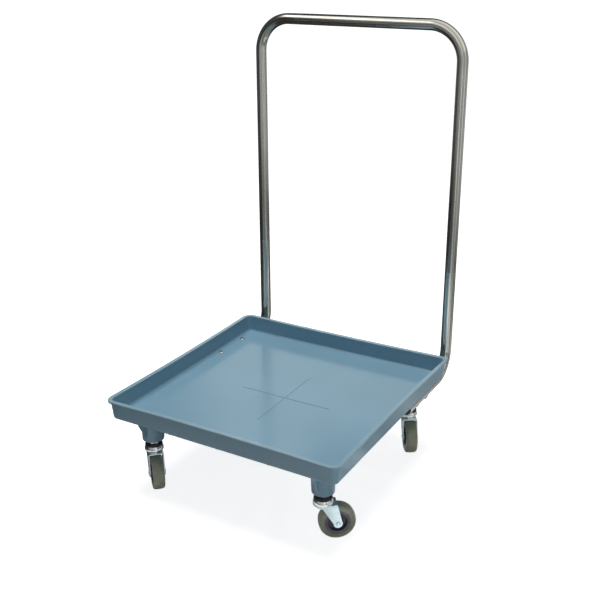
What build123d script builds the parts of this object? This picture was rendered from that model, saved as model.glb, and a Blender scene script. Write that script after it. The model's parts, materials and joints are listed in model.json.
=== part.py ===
from build123d import *
from math import cos, radians, sin
import os

# Overall sizes of the trolley, in millimetres
overall_height = 950
rim_height = 210
tray_width = 555
tray_depth = 555

# Tray moulding
rim_corner_radius = 24
rim_bow = 5
foot_bow = 1
lip_height = 5
lip_overhang = 6
lip_edge_round = 1.8
rim_inner_round = 1.2
rim_width = 10
tray_inside_depth = 38.5
wall_foot_width = 14.6
wall_foot_inset = 10.5
skirt_drop = 44
skirt_thickness = 7
skirt_edge_round = 5
floor_thickness = 3.5
floor_edge_round = 5
rib_thickness = 3.5
rib_pitch = 118
rib_count = 3

# Cross lines sunk in the tray floor
cross_x = -16
cross_shift = -2
cross_length = 197
cross_line_width = 2.6
cross_line_depth = 0.8

# Caster bosses under the tray
caster_side_inset = 69.5
caster_end_inset = 71.5
boss_foot_radius = 23.3
boss_top_radius = 25.5
boss_edge_round = 1.5
gusset_reach = 25
gusset_lift = 10
gusset_thickness = 5

# Handle tubes
tube_diameter = 25
tube_wall = 1.3
tube_inset = 29.5
upright_gap = 31
top_bend_radius = 75
foot_bend_radius = 58
joint_height = 190
spigot_length = 45
spigot_clearance = 0.1
shoulder_length = 4
joint_edge_bevel = 0.5
plug_flange = 2.5
plug_flange_margin = 0.4
plug_length = 14
plug_clearance = 0.05

# Bolts that hold the handle under the tray
bolt_diameter = 6
bolt_length = 42
bolt_head_diameter = 13
bolt_head_height = 3.4
bolt_head_edge = 0.9
bolt_hole_clearance = 0.3
bolt_inset = 71.5
bolt_pitch = 91
tube_end_margin = 20
pad_radius = 11
washer_diameter = 14
washer_thickness = 1.6
nut_across_flats = 10
nut_height = 5

# Casters, all heights measured from the ground
wheel_diameter = 75
tyre_width = 25
trail = 27.5
crown_clearance = 2.5
fork_sheet = 2.5
fork_width = 34
fork_bend_radius = 4.5
crown_nose = 20.5
crown_tail = 26.5
leg_end_radius = 9
leg_front_start = 3
leg_front_drop = 6.5
stem_diameter = 12
stem_length = 42
stem_clearance = 0.05
stem_tip_bevel = 1.2
collar_across_flats = 24
collar_height = 9.5
pin_diameter = 10
pin_clearance = 0.06
pin_head_radius = 7.5
pin_head_height = 3.4
pin_head_bevel = 1.2
lower_race_radius = 11
lower_race_thickness = 2.9
race_gap = 0.1
seal_radius = 19
seal_height = 4.5
seal_groove = 1
cup_radius = 20.3
cup_wall = 1.6
cup_roof = 5.96
cup_lip_gap = 0.5
cup_shoulder = 3
ball_diameter = 5
ball_circle_radius = 12.5
ball_gap = 0.02
balls_per_race = 6

# Wheels
axle_diameter = 8
axle_clearance = 0.05
axle_head_radius = 4.8
axle_head_height = 1.8
axle_head_bevel = 0.9
sleeve_radius = 6
sleeve_clearance = 0.06
sleeve_end_gap = 0.05
hub_width = 28
hub_radius = 10.5
web_width = 9
recess_radius = 20
recess_taper = 1.2
core_radius = 26
core_width = 23.6
core_key_height = 3
core_key_width = 9
tyre_shoulder_round = 3
tyre_crown = 0.5

# How far each caster has swung round from the trolley's right-hand side
caster_headings = {
    "front_left": -44,
    "front_right": 38,
    "rear_left": -50,
    "rear_right": -56,
}

# Levels and positions worked out from the sizes above
tube_radius = tube_diameter / 2
tube_bore = tube_radius - tube_wall
lip_level = rim_height - lip_height
floor_level = rim_height - tray_inside_depth
floor_under = floor_level - floor_thickness
skirt_level = rim_height - skirt_drop
underside_depth = floor_under - skirt_level
tube_x = tray_width / 2 - tube_inset
caster_x = tray_width / 2 - caster_side_inset
caster_spread = tray_depth / 2 - caster_end_inset
joint_level = rim_height + joint_height
handle_level = overall_height - tube_radius
tube_level = skirt_level - tube_radius
upright_offset = tray_depth / 2 + upright_gap + tube_radius
tray_y = (tray_depth / 2 - upright_offset - tube_radius) / 2
upright_y = tray_y + upright_offset
first_bolt_y = tray_y + tray_depth / 2 - bolt_inset
second_bolt_y = first_bolt_y - bolt_pitch
tube_end_y = second_bolt_y - tube_end_margin
bolt_radius = bolt_diameter / 2
bolt_hole_radius = bolt_radius + bolt_hole_clearance
wheel_radius = wheel_diameter / 2
crown_under = wheel_diameter + crown_clearance
crown_top = crown_under + fork_sheet
leg_inside = fork_width / 2 - fork_sheet
stem_radius = stem_diameter / 2
pin_radius = pin_diameter / 2
ball_radius = ball_diameter / 2
ball_level = crown_top + ball_radius + ball_gap
cup_ceiling = ball_level + ball_radius + ball_gap
seal_level = cup_ceiling + cup_roof
collar_level = seal_level + seal_height
caster_height = collar_level + collar_height
boss_height = floor_under - caster_height
gusset_level = caster_height + gusset_lift
gusset_length = boss_top_radius + gusset_reach
lower_race_top = crown_under - race_gap
lower_race_foot = lower_race_top - lower_race_thickness
axle_radius = axle_diameter / 2

upright_sides = {"left": -tube_x, "right": tube_x}
bolt_places = [(x, y) for x in upright_sides.values() for y in (first_bolt_y, second_bolt_y)]
caster_places = {
    "front_left": (-caster_x, tray_y - caster_spread),
    "front_right": (caster_x, tray_y - caster_spread),
    "rear_left": (-caster_x, tray_y + caster_spread),
    "rear_right": (caster_x, tray_y + caster_spread),
}

os.makedirs("parts", exist_ok=True)


def save(block, label):
    block.part.label = label
    export_step(block.part, f"parts/{label}.step")


def tray_outline(inset, bow, level):
    # Rounded rectangle whose sides bow inwards, set in from the rim's outer edge
    side_x = tray_width / 2 - inset
    side_y = tray_depth / 2 - inset
    with BuildSketch(Plane((0, tray_y, level))) as outline:
        with BuildLine():
            ThreePointArc((-side_x, -side_y), (0, bow - side_y), (side_x, -side_y))
            ThreePointArc((side_x, -side_y), (side_x - bow, 0), (side_x, side_y))
            ThreePointArc((side_x, side_y), (0, side_y - bow), (-side_x, side_y))
            ThreePointArc((-side_x, side_y), (bow - side_x, 0), (-side_x, -side_y))
        make_face()
        fillet(outline.vertices(), max(rim_corner_radius - inset, rim_corner_radius / 3))
    return outline.sketch


# Tray: floor, drafted walls, rim lip, skirt, ribs, bolt pads and caster bosses
with BuildPart() as tray:
    extrude(tray_outline(0, rim_bow, lip_level), amount=lip_height)
    fillet(tray.edges().group_by(Axis.Z)[0] + tray.edges().group_by(Axis.Z)[-1], lip_edge_round)

    wall_foot = tray_outline(wall_foot_inset, foot_bow, skirt_level)
    wall_top = tray_outline(lip_overhang, rim_bow, lip_level)
    loft([wall_foot, wall_top], ruled=True)
    fillet(tray.edges().group_by(Axis.Z)[0], skirt_edge_round)

    well_floor = tray_outline(wall_foot_width, foot_bow, floor_level)
    well_mouth = tray_outline(rim_width, rim_bow, rim_height)
    loft([well_floor, well_mouth], ruled=True, mode=Mode.SUBTRACT)
    rim_face = tray.faces().filter_by(Plane.XY).sort_by(Axis.Z)[-1]
    fillet(rim_face.inner_wires()[0].edges(), rim_inner_round)
    floor_face = tray.faces().filter_by(Plane.XY).sort_by(SortBy.AREA)[-2:].sort_by(Axis.Z)[-1]
    fillet(floor_face.outer_wire().edges(), floor_edge_round)

    with BuildSketch(Plane.XY.offset(skirt_level)):
        add(tray_outline(wall_foot_inset + skirt_thickness, foot_bow, skirt_level))
        with Locations((0, tray_y)):
            with GridLocations(rib_pitch, 0, rib_count, 1):
                Rectangle(rib_thickness, tray_depth, mode=Mode.SUBTRACT)
            with GridLocations(0, rib_pitch, 1, rib_count):
                Rectangle(tray_width, rib_thickness, mode=Mode.SUBTRACT)
        with Locations(*bolt_places):
            Circle(pad_radius, mode=Mode.SUBTRACT)
    extrude(amount=underside_depth, mode=Mode.SUBTRACT)

    for boss_x, boss_y in caster_places.values():
        with Locations((boss_x, boss_y, caster_height)):
            Cone(boss_foot_radius, boss_top_radius, boss_height, align=(Align.CENTER, Align.CENTER, Align.MIN))
        outward = 1 if boss_y > tray_y else -1
        with BuildSketch(Plane(origin=(boss_x, boss_y, 0), x_dir=(0, outward, 0), z_dir=(outward, 0, 0))):
            with BuildLine():
                Polyline(
                    (0, floor_under),
                    (0, gusset_level),
                    (boss_foot_radius, gusset_level),
                    (gusset_length, skirt_level),
                    (gusset_length, floor_under),
                    close=True,
                )
            make_face()
        extrude(amount=gusset_thickness / 2, both=True)
    fillet(tray.edges().group_by(Axis.Z)[0], boss_edge_round)

    with Locations(*[(x, y, caster_height) for x, y in caster_places.values()]):
        Cylinder(
            stem_radius + stem_clearance,
            stem_length + stem_tip_bevel,
            align=(Align.CENTER, Align.CENTER, Align.MIN),
            mode=Mode.SUBTRACT,
        )
    with Locations(*[(x, y, skirt_level) for x, y in bolt_places]):
        Cylinder(
            bolt_hole_radius,
            skirt_drop,
            align=(Align.CENTER, Align.CENTER, Align.MIN),
            mode=Mode.SUBTRACT,
        )

    with BuildSketch(Plane((cross_x, tray_y + cross_shift, floor_level))):
        Rectangle(cross_length, cross_line_width)
        Rectangle(cross_line_width, cross_length)
    extrude(amount=-cross_line_depth, mode=Mode.SUBTRACT)

save(tray, "tray")

# Upper handle: one tube bent into an upside-down U
with BuildPart() as handle_upper:
    with BuildLine() as bow_path:
        FilletPolyline(
            (-tube_x, upright_y, joint_level),
            (-tube_x, upright_y, handle_level),
            (tube_x, upright_y, handle_level),
            (tube_x, upright_y, joint_level),
            radius=top_bend_radius,
        )
    with BuildSketch(Plane((-tube_x, upright_y, joint_level))):
        Circle(tube_radius)
        Circle(tube_bore, mode=Mode.SUBTRACT)
    sweep(path=bow_path.line)
    foot_edges = handle_upper.edges().group_by(Axis.Z)[0].filter_by(GeomType.CIRCLE)
    chamfer(foot_edges.filter_by(lambda edge: edge.radius > tube_bore + joint_edge_bevel), joint_edge_bevel)

save(handle_upper, "handle_upper")

# Lower handle tubes: each runs back under the tray, bends up and ends in a reduced spigot
for side, side_x in upright_sides.items():
    spigot_radius = tube_bore - spigot_clearance
    spigot_bore = spigot_radius - tube_wall
    with BuildPart() as handle_lower:
        with BuildLine() as foot_path:
            FilletPolyline(
                (side_x, tube_end_y, tube_level),
                (side_x, upright_y, tube_level),
                (side_x, upright_y, joint_level),
                radius=foot_bend_radius,
            )
        with BuildSketch(Plane(origin=(side_x, tube_end_y, tube_level), z_dir=(0, 1, 0))):
            Circle(tube_radius)
            Circle(tube_bore, mode=Mode.SUBTRACT)
        sweep(path=foot_path.line)
        rim_edges = handle_lower.edges().group_by(Axis.Z)[-1].filter_by(GeomType.CIRCLE)
        chamfer(rim_edges.sort_by(SortBy.LENGTH)[-1], joint_edge_bevel)
        with BuildSketch(Plane((side_x, upright_y, joint_level))):
            Circle(tube_bore)
            Circle(spigot_bore, mode=Mode.SUBTRACT)
        extrude(amount=-shoulder_length)
        with BuildSketch(Plane((side_x, upright_y, joint_level - shoulder_length))):
            Circle(spigot_radius)
            Circle(spigot_bore, mode=Mode.SUBTRACT)
        extrude(amount=shoulder_length + spigot_length)
        with Locations((side_x, first_bolt_y, tube_level), (side_x, second_bolt_y, tube_level)):
            Cylinder(bolt_hole_radius, tube_diameter, mode=Mode.SUBTRACT)
    save(handle_lower, f"handle_lower_{side}")

    with BuildPart() as tube_plug:
        with BuildSketch(Plane(origin=(side_x, tube_end_y, tube_level), z_dir=(0, -1, 0))):
            Circle(tube_radius - plug_flange_margin)
        extrude(amount=plug_flange)
        fillet(tube_plug.edges().group_by(Axis.Y)[0], plug_flange / 3)
        with BuildSketch(Plane(origin=(side_x, tube_end_y, tube_level), z_dir=(0, 1, 0))):
            Circle(tube_bore - plug_clearance)
        extrude(amount=plug_length)
    save(tube_plug, f"tube_plug_{side}")

# Bolts through the tray floor and the lower tubes, with washers and nuts below
washer_top = tube_level - tube_radius
washer_foot = washer_top - washer_thickness
nut_foot = washer_foot - nut_height

with BuildPart() as floor_bolts:
    for bolt_x, bolt_y in bolt_places:
        with BuildSketch(Plane(origin=(bolt_x, bolt_y, floor_level), x_dir=(1, 0, 0), z_dir=(0, -1, 0))):
            with BuildLine():
                head_crest = (0, bolt_head_height)
                head_brink = (bolt_head_diameter / 2, bolt_head_edge)
                TangentArc(head_crest, head_brink, tangent=(1, 0))
                Polyline(
                    head_brink,
                    (bolt_head_diameter / 2, 0),
                    (bolt_radius, 0),
                    (bolt_radius, -bolt_length),
                    (0, -bolt_length),
                    head_crest,
                )
            make_face()
        revolve(axis=Axis((bolt_x, bolt_y, 0), (0, 0, 1)))

save(floor_bolts, "floor_bolts")

with BuildPart() as tube_washers:
    with BuildSketch(Plane.XY.offset(washer_foot)):
        with Locations(*bolt_places):
            Circle(washer_diameter / 2)
            Circle(bolt_hole_radius, mode=Mode.SUBTRACT)
    extrude(amount=washer_thickness)

save(tube_washers, "tube_washers")

with BuildPart() as tube_nuts:
    with BuildSketch(Plane.XY.offset(nut_foot)):
        with Locations(*bolt_places):
            RegularPolygon(nut_across_flats / 2, side_count=6, major_radius=False)
            Circle(bolt_radius, mode=Mode.SUBTRACT)
    extrude(amount=nut_height)

save(tube_nuts, "tube_nuts")

# Casters: every piece stands on the swivel axis or the axle of its own corner
for corner, (swivel_x, swivel_y) in caster_places.items():
    heading = radians(caster_headings[corner])
    ahead = (cos(heading), sin(heading), 0)
    across = (-sin(heading), cos(heading), 0)
    swivel_axis = Axis((swivel_x, swivel_y, 0), (0, 0, 1))
    side_plane = Plane(origin=(swivel_x, swivel_y, 0), x_dir=ahead, z_dir=(sin(heading), -cos(heading), 0))
    end_plane = Plane(origin=(swivel_x, swivel_y, 0), x_dir=across, z_dir=ahead)
    wheel_centre = (swivel_x + trail * ahead[0], swivel_y + trail * ahead[1], wheel_radius)
    axle_axis = Axis(wheel_centre, across)
    axle_plane = Plane(origin=wheel_centre, x_dir=ahead, z_dir=across)
    wheel_section = Plane(origin=wheel_centre, x_dir=across, z_dir=ahead)

    with BuildPart() as caster_stem:
        with BuildSketch(Plane((swivel_x, swivel_y, caster_height))):
            Circle(stem_radius)
        extrude(amount=stem_length)
        chamfer(caster_stem.edges().group_by(Axis.Z)[-1], stem_tip_bevel)
        with BuildSketch(Plane(origin=(swivel_x, swivel_y, collar_level), x_dir=ahead)):
            RegularPolygon(collar_across_flats / 2, side_count=6, major_radius=False)
        extrude(amount=collar_height)
        with BuildSketch(Plane((swivel_x, swivel_y, lower_race_foot))):
            Circle(pin_radius)
        extrude(amount=collar_level - lower_race_foot)
        with BuildSketch(Plane((swivel_x, swivel_y, lower_race_foot))):
            Circle(pin_head_radius)
        extrude(amount=-pin_head_height)
        chamfer(caster_stem.edges().group_by(Axis.Z)[0], pin_head_bevel)
    save(caster_stem, f"caster_stem_{corner}")

    with BuildPart() as seal_ring:
        with BuildSketch(side_plane):
            with BuildLine():
                Polyline(
                    (pin_radius + pin_clearance, seal_level),
                    (seal_radius, seal_level),
                    (seal_radius, seal_level + seal_height / 3),
                    (seal_radius - seal_groove, seal_level + seal_height / 2),
                    (seal_radius - seal_groove, collar_level),
                    (pin_radius + pin_clearance, collar_level),
                    close=True,
                )
            make_face()
        revolve(axis=swivel_axis)
    save(seal_ring, f"seal_ring_{corner}")

    with BuildPart() as bearing_cup:
        with BuildSketch(side_plane):
            with BuildLine():
                Polyline(
                    (pin_radius + pin_clearance, cup_ceiling),
                    (cup_radius - cup_wall, cup_ceiling),
                    (cup_radius - cup_wall, crown_top + cup_lip_gap),
                    (cup_radius, crown_top + cup_lip_gap),
                    (cup_radius, cup_ceiling),
                    (cup_radius - cup_shoulder, seal_level),
                    (pin_radius + pin_clearance, seal_level),
                    close=True,
                )
            make_face()
        revolve(axis=swivel_axis)
    save(bearing_cup, f"bearing_cup_{corner}")

    with BuildPart() as ball_race:
        with Locations(Plane(origin=(swivel_x, swivel_y, ball_level), x_dir=ahead)):
            with PolarLocations(ball_circle_radius, balls_per_race):
                Sphere(ball_radius)
    save(ball_race, f"ball_race_{corner}")

    with BuildPart() as lower_race:
        with BuildSketch(Plane((swivel_x, swivel_y, lower_race_foot))):
            Circle(lower_race_radius)
            Circle(pin_radius, mode=Mode.SUBTRACT)
        extrude(amount=lower_race_thickness)
    save(lower_race, f"lower_race_{corner}")

    with BuildPart() as fork:
        with BuildSketch(end_plane.offset(-crown_nose)):
            with BuildLine():
                Polyline(
                    (-fork_width / 2, 0),
                    (-fork_width / 2, crown_top),
                    (fork_width / 2, crown_top),
                    (fork_width / 2, 0),
                    (leg_inside, 0),
                    (leg_inside, crown_under),
                    (-leg_inside, crown_under),
                    (-leg_inside, 0),
                    close=True,
                )
            make_face()
        extrude(amount=crown_nose + trail + leg_end_radius)
        outer_bends = fork.edges().filter_by(Axis((0, 0, 0), ahead)).group_by(Axis.Z)[-1]
        fillet(outer_bends, fork_bend_radius)
        inner_bends = fork.edges().filter_by(Axis((0, 0, 0), ahead)).filter_by_position(
            Axis.Z, crown_under - race_gap, crown_under + race_gap
        )
        fillet(inner_bends, fork_bend_radius - fork_sheet)
        with BuildSketch(side_plane):
            with BuildLine():
                Polyline(
                    (-crown_nose, crown_top),
                    (-crown_nose, crown_under),
                    (-leg_front_start, crown_top - leg_front_drop),
                    (trail - leg_end_radius, wheel_radius),
                    (trail + leg_end_radius, wheel_radius),
                    (crown_tail, crown_top),
                    close=True,
                )
            make_face()
            with Locations((trail, wheel_radius)):
                Circle(leg_end_radius)
        extrude(amount=fork_width, both=True, mode=Mode.INTERSECT)
        with BuildSketch(Plane(origin=(swivel_x, swivel_y, 0), x_dir=ahead)):
            Circle(crown_nose)
            with Locations((fork_width, 0)):
                Rectangle(2 * fork_width, fork_width)
        extrude(amount=crown_top, mode=Mode.INTERSECT)
        with BuildSketch(Plane((swivel_x, swivel_y, 0))):
            Circle(pin_radius + pin_clearance)
        extrude(amount=crown_top, mode=Mode.SUBTRACT)
        with BuildSketch(axle_plane):
            Circle(axle_radius + axle_clearance)
        extrude(amount=fork_width, both=True, mode=Mode.SUBTRACT)
    save(fork, f"fork_{corner}")

    with BuildPart() as axle:
        with BuildSketch(axle_plane):
            Circle(axle_radius)
        extrude(amount=fork_width / 2, both=True)
        with BuildSketch(axle_plane.offset(fork_width / 2), axle_plane.offset(-fork_width / 2 - axle_head_height)):
            Circle(axle_head_radius)
        extrude(amount=axle_head_height)
        head_edges = axle.edges().filter_by(GeomType.CIRCLE).group_by(SortBy.LENGTH)[-1].sort_by(axle_axis)
        chamfer([head_edges[0], head_edges[-1]], axle_head_bevel)
    save(axle, f"axle_{corner}")

    with BuildPart() as axle_sleeve:
        with BuildSketch(axle_plane):
            Circle(sleeve_radius)
            Circle(axle_radius + axle_clearance, mode=Mode.SUBTRACT)
        extrude(amount=leg_inside - sleeve_end_gap, both=True)
    save(axle_sleeve, f"axle_sleeve_{corner}")

    with BuildPart() as wheel_core:
        with BuildSketch(wheel_section):
            with BuildLine():
                Polyline(
                    (0, sleeve_radius + sleeve_clearance),
                    (hub_width / 2, sleeve_radius + sleeve_clearance),
                    (hub_width / 2, hub_radius),
                    (web_width / 2, hub_radius + recess_taper),
                    (web_width / 2, recess_radius - recess_taper),
                    (core_width / 2, recess_radius),
                    (core_width / 2, core_radius),
                    (core_key_width / 2, core_radius),
                    (core_key_width / 2, core_radius + core_key_height),
                    (0, core_radius + core_key_height),
                    close=True,
                )
            make_face()
            mirror(about=Plane.YZ)
        revolve(axis=axle_axis)
    save(wheel_core, f"wheel_core_{corner}")

    with BuildPart() as tyre:
        with BuildSketch(wheel_section) as tyre_section:
            with BuildLine():
                side_foot = (tyre_width / 2, core_radius)
                side_top = (tyre_width / 2, wheel_radius - tyre_crown)
                Polyline(
                    (core_key_width / 2, core_radius + core_key_height),
                    (core_key_width / 2, core_radius),
                    side_foot,
                    side_top,
                )
                ThreePointArc(side_top, (0, wheel_radius), (-side_top[0], side_top[1]))
                Polyline(
                    (-side_top[0], side_top[1]),
                    (-side_foot[0], side_foot[1]),
                    (-core_key_width / 2, core_radius),
                    (-core_key_width / 2, core_radius + core_key_height),
                    (core_key_width / 2, core_radius + core_key_height),
                )
            make_face()
            fillet(tyre_section.vertices().group_by(Axis.Y)[-1], tyre_shoulder_round)
        revolve(axis=axle_axis)
    save(tyre, f"tyre_{corner}")
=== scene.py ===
"""Dish rack trolley: a moulded tray on four casters with a bent steel handle, and the stage it stands on."""

import json
import math

import bmesh
import bpy
from bpy.props import FloatProperty, FloatVectorProperty, IntProperty, PointerProperty
from mathutils import Matrix, Vector


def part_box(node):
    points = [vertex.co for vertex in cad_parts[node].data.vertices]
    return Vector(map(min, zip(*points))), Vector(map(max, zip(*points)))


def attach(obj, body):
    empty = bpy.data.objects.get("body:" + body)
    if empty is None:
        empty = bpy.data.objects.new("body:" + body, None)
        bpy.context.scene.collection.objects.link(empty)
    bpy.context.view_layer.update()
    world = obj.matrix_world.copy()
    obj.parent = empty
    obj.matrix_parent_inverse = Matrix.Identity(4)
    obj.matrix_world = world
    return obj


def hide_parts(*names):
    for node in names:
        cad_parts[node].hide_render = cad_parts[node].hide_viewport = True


bl_info = {
    "name": "Dish Rack Trolley",
    "version": (1, 0, 0),
    "blender": (4, 5, 0),
    "location": "3D View > Sidebar > Trolley",
    "description": "Builds a dish rack trolley: moulded tray, bent steel handle and four swivel casters",
    "category": "Add Mesh",
}

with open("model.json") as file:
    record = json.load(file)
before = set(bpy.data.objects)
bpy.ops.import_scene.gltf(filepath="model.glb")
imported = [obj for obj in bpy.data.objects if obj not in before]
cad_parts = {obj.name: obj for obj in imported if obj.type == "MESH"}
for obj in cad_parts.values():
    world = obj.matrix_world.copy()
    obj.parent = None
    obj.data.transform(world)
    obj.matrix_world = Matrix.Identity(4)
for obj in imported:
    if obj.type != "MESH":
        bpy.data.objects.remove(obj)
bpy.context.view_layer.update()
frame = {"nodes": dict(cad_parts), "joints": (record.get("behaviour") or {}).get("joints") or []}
joints = {joint["name"]: joint for joint in frame["joints"]}

CORNERS = ("front_left", "front_right", "rear_left", "rear_right")
SIDES = ("left", "right")
TRAY_CENTRE = (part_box("tray")[0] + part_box("tray")[1]) / 2
WASHER_RADIUS = 0.007
WASHER_HOLE = 0.0033
PIN_RADIUS = 0.005
PIN_HOLE = 0.00506

# Level directions as the camera sees them: to its right, and away from it past the trolley.
CAMERA_RIGHT = (0.866, 0.5, 0.0)
CAMERA_AHEAD = (-0.5, 0.866, 0.0)

BLACK = (0.0, 0.0, 0.0, 1.0)
WHITE = (1.0, 1.0, 1.0, 1.0)
# Lip tone: partly dust, partly a painted highlight along the lip.
RIM_DUST_AND_SHEEN = (0.46, 0.55, 0.56, 1.0)
STEEL_STAIN = (0.40, 0.38, 0.33, 1.0)
STEEL_SCUFF = (0.8, 0.79, 0.76, 1.0)
TYRE_DUST = (0.45, 0.44, 0.37, 1.0)
TREAD_DUST = (0.66, 0.68, 0.45, 1.0)
PLASTIC_DUST = (0.2, 0.19, 0.18, 1.0)
ROOM_TINT = (0.92, 0.98, 1.0, 1.0)


def setting(kind, **fixed):
    """Maker of settings of one kind, each with a name, a description and a default."""
    return lambda name, description, default: kind(
        name=name, description=description, default=default, **fixed
    )


length = setting(FloatProperty, min=0.0, precision=5, unit="LENGTH", subtype="DISTANCE")
shift = setting(FloatProperty, precision=5, unit="LENGTH")
share = setting(FloatProperty, min=0.0, max=1.0, subtype="FACTOR")
power = setting(FloatProperty, min=0.0, unit="POWER")
count = setting(IntProperty, min=12)
focal = setting(FloatProperty, unit="CAMERA")
colour = setting(FloatVectorProperty, min=0.0, max=1.0, size=3, subtype="COLOR")
position = setting(FloatVectorProperty, subtype="TRANSLATION")
attitude = setting(FloatVectorProperty, subtype="EULER")


class TrolleyTraySettings(bpy.types.PropertyGroup):
    side: length("Side", "Width of the square rim before its corners are rounded", 0.5549)
    corner: length("Corner", "Radius of the rim's corners", 0.024)
    rim_bow: length("Rim bow", "How far the middle of each rim side is drawn in", 0.005)
    foot_bow: length("Foot bow", "How far the middle of each side is drawn in at the floor", 0.001)
    lip: length("Lip", "Height of the lip round the rim", 0.005)
    lip_overhang: length("Lip overhang", "How far the lip stands out from the wall", 0.006)
    lip_round: length("Lip rounding", "Rounding of the lip's outer edges", 0.0018)
    mouth_round: length("Mouth rounding", "Rounding of the rim's inner edge", 0.0012)
    rim_width: length("Rim width", "Width of the flat rim", 0.010)
    skirt_inset: length("Skirt inset", "How far the wall's foot stands in from the rim", 0.0105)
    skirt_thickness: length("Skirt thickness", "Thickness of the wall below the floor", 0.007)
    skirt_round: length("Skirt rounding", "Rounding of the wall's lower outer edge", 0.005)
    floor_inset: length("Floor inset", "How far the well's floor stands in from the rim", 0.0146)
    floor_round: length("Floor rounding", "Rounding between the floor and the walls", 0.005)
    floor_thickness: length("Floor thickness", "Thickness of the floor", 0.0035)
    skirt_drop: length("Skirt drop", "Height of the wall from rim to lower edge", 0.044)
    well_depth: length("Well depth", "Depth of the well below the rim", 0.0385)
    cross_length: length("Cross length", "Length of the two sunken lines in the floor", 0.219)
    cross_width: length("Cross width", "Width of the sunken lines", 0.0022)
    cross_depth: length("Cross depth", "Depth of the sunken lines", 0.0006)
    cross_x: shift("Cross, sideways", "How far the cross lies right of the tray's middle", 0.010)
    cross_y: shift("Cross, back", "How far the cross lies behind the tray's middle", -0.017)
    rib_pitch: length("Rib pitch", "Distance between the ribs under the floor", 0.118)
    rib_thickness: length("Rib thickness", "Thickness of the ribs", 0.0035)
    boss_foot: length("Boss foot", "Radius of a caster boss at its lower end", 0.0233)
    boss_top: length("Boss top", "Radius of a caster boss at the floor", 0.0255)
    gusset_reach: length("Gusset reach", "How far a gusset runs out from its boss", 0.025)
    gusset_lift: length("Gusset lift", "Height of a gusset's lower end above the boss foot", 0.010)
    gusset_thickness: length("Gusset thickness", "Thickness of a gusset", 0.005)
    pad_radius: length("Pad radius", "Radius of the pads round the bolts", 0.011)
    plastic: colour("Plastic", "Colour of the tray's plastic", (0.222, 0.392, 0.505))


class TrolleyHandleSettings(bpy.types.PropertyGroup):
    radius: length("Tube radius", "Outer radius of the tubes", 0.0125)
    wall: length("Tube wall", "Thickness of the tube wall", 0.0013)
    top_bend: length("Top bend", "Centre line radius of the two upper bends", 0.075)
    foot_bend: length("Foot bend", "Centre line radius of the two lower bends", 0.058)
    spigot: length("Spigot", "How far the lower tubes reach into the upper handle", 0.045)
    edge: length("Edge", "Bevel of the tube ends where they meet", 0.0005)
    sides: count("Sides", "Sides of a tube's section", 48)
    steel: colour("Steel", "Colour of the tubes' steel", (0.57, 0.55, 0.495))


class TrolleyCasterSettings(bpy.types.PropertyGroup):
    steps: count("Steps", "Steps in a turned piece", 96)
    zinc: colour("Zinc", "Colour of the plated forks", (0.71, 0.85, 0.91))
    bright: colour("Bright steel", "Colour of stems, cups and races", (0.86, 0.88, 0.89))
    bolt: colour("Bolts", "Colour of the bolts, washers and nuts", (0.62, 0.63, 0.64))
    tyre: colour("Tyre", "Colour of the tyres", (0.56, 0.57, 0.43))
    core: colour("Core", "Colour of the wheel cores", (0.25, 0.225, 0.31))
    seal: colour("Seal", "Colour of the seals and tube plugs", (0.012, 0.012, 0.013))


class TrolleyStageSettings(bpy.types.PropertyGroup):
    floor: colour("Floor", "Colour of the floor", (0.7, 0.7, 0.7))
    key: power("Key light", "Power of the large overhead light", 49.0)
    bounce: power("Bounce", "Power of the light that comes off the floor on the right", 4.5)
    fill: share("Fill", "Strength of the light from all round", 0.05)
    room_dark: share("Room, dark side", "Brightness of what polished pieces reflect on the left", 0.05)
    room_light: share("Room, light side", "Brightness of what polished pieces reflect on the right", 0.56)
    lens: focal("Lens", "Focal length on a 36 mm sensor", 55.136)
    camera: position("Camera", "Place of the camera", (0.935194, -1.580307, 1.100441))
    aim: attitude("Aim", "Turn of the camera", (1.198761, 0.003958, 0.522096))


# Materials


class NodeSheet:
    """A node tree that is written step by step: each step adds one node and returns one of its outputs."""

    def __init__(self, tree):
        self.tree = tree

    def add(self, kind, output=0, inputs=None, **settings):
        node = self.tree.nodes.new("ShaderNode" + kind)
        for key, value in settings.items():
            setattr(node, key, value)
        for key, value in (inputs or {}).items():
            self.set(node.inputs[key], value)
        return node.outputs[output]

    def set(self, socket, value):
        if isinstance(value, bpy.types.NodeSocket):
            self.tree.links.new(value, socket)
        else:
            socket.default_value = value

    def maths(self, operation, first, second=0.0):
        return self.add("Math", operation=operation, inputs={0: first, 1: second})

    def times(self, first, second):
        return self.maths("MULTIPLY", first, second)

    def plus(self, first, second):
        return self.maths("ADD", first, second)

    def larger(self, first, second):
        return self.maths("MAXIMUM", first, second)

    def remap(self, value, low, high, to_low=0.0, to_high=1.0):
        inputs = {0: value, "From Min": low, "From Max": high, "To Min": to_low, "To Max": to_high}
        return self.add("MapRange", inputs=inputs)

    def seen(self):
        """1 on the rays of the camera, mirrors and glass, and 0 on the rays that light things."""
        rays = self.tree.nodes.new("ShaderNodeLightPath").outputs
        direct = self.larger(rays["Is Camera Ray"], rays["Is Glossy Ray"])
        return self.larger(direct, rays["Is Transmission Ray"])


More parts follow.
